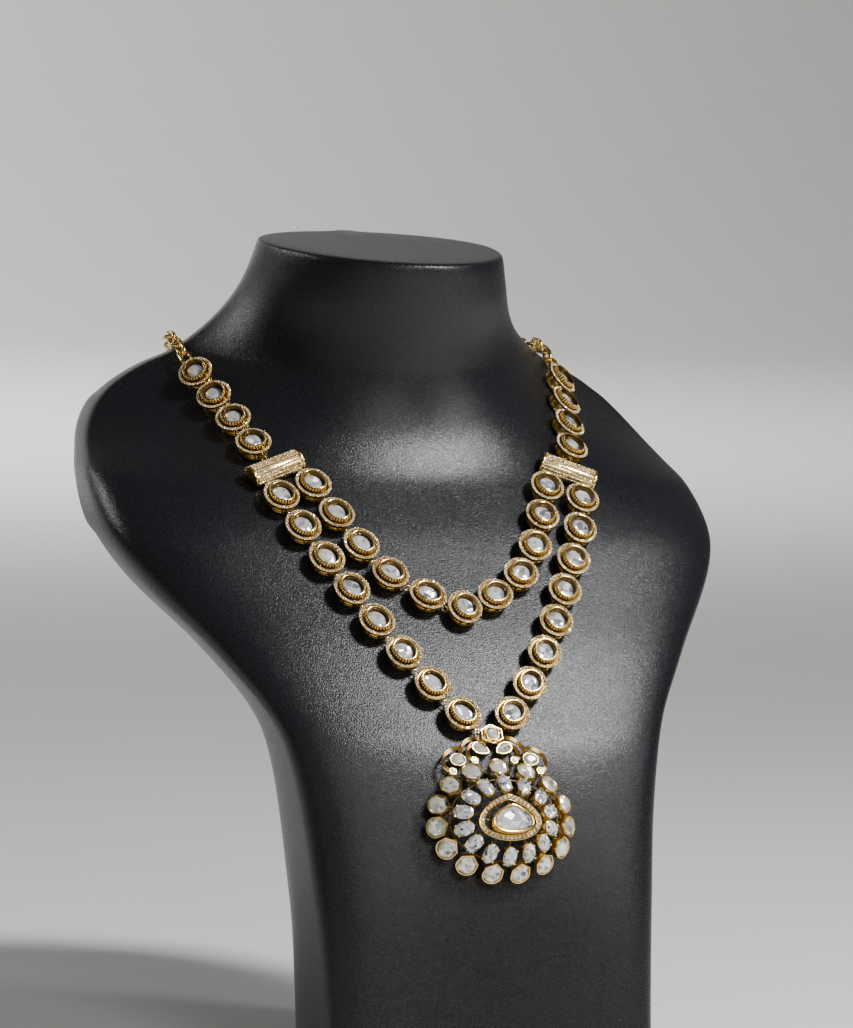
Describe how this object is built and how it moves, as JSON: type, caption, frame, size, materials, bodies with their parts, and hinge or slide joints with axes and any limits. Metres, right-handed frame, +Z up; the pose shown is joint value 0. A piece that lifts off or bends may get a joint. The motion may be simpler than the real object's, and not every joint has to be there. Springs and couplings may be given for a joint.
{
  "type": "kundan necklace on a neck bust",
  "caption": "Two-strand necklace of oval stone-set links with spacer bars and a domed drop-centred pendant, worn on a plain neck bust for display.",
  "frame": {"origin": "on the table under the middle of the whole object", "axes": "+Z up, the chest and pendant face -Y, +X to the right of someone looking at the chest"},
  "size_m": [0.203, 0.1824, 0.2535],
  "materials": {
    "bust_cloth": "black satin stretched over the bust",
    "gold": "warm yellow gold plating, polished",
    "stone": "foil-backed flat-cut stone, white"
  },
  "bodies": {
    "root": {"bust": "bust_cloth", "upper_links_left": "gold", "upper_links_right": "gold", "upper_stones": "stone", "spacer_left": "gold", "spacer_right": "gold", "inner_links": "gold", "inner_stones": "stone", "outer_links_left": "gold", "outer_links_right": "gold", "outer_stones": "stone", "joining_rings": "gold", "back_chain_left": "gold", "back_chain_right": "gold", "clasp": "gold", "pendant_frame": "gold", "pendant_petal_stones": "stone", "pendant_oval_stones": "stone", "pendant_middle_stone": "stone", "pendant_crown_stones": "stone"}
  },
  "joints": []
}
